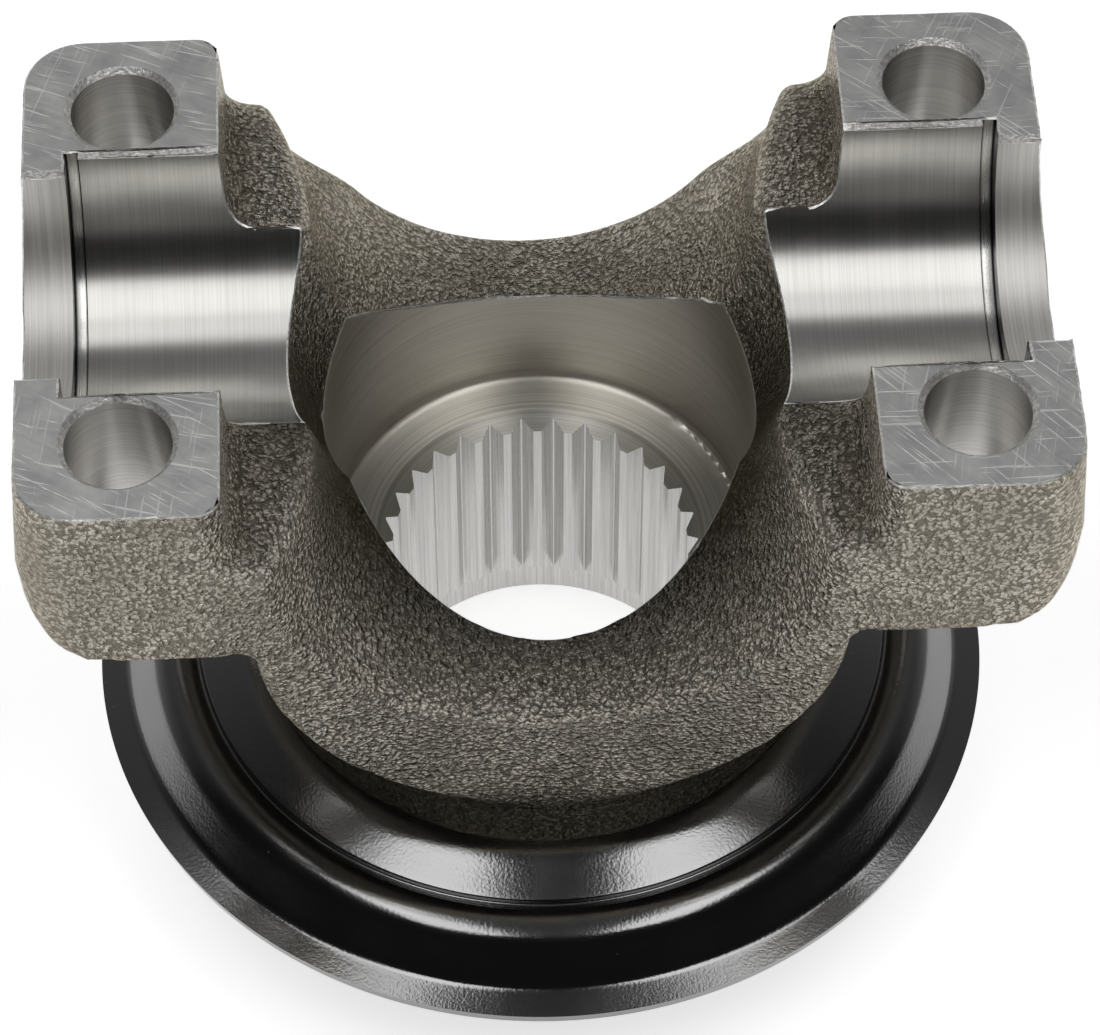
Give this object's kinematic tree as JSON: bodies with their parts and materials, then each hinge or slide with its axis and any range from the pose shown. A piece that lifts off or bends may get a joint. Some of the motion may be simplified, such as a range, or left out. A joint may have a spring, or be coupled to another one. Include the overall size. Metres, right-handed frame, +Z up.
{
  "type": "differential end yoke",
  "caption": "Forged steel end yoke with half-round bearing cap seats, bolted lugs, a splined hub and a pressed black dust deflector.",
  "frame": {"origin": "on the spline axis, in the plane of the hub's lower face", "axes": "+Z up the spline axis towards the joint, +X along the joint seats"},
  "size_m": [0.1024, 0.0946, 0.0775],
  "materials": {
    "forged_steel": "rough forged skin with bright machined seats, lug tops, bore and spline",
    "black_paint": "semi-gloss black coating on pressed steel"
  },
  "bodies": {
    "root": {"yoke": "forged_steel", "dust_deflector": "black_paint"}
  },
  "joints": []
}
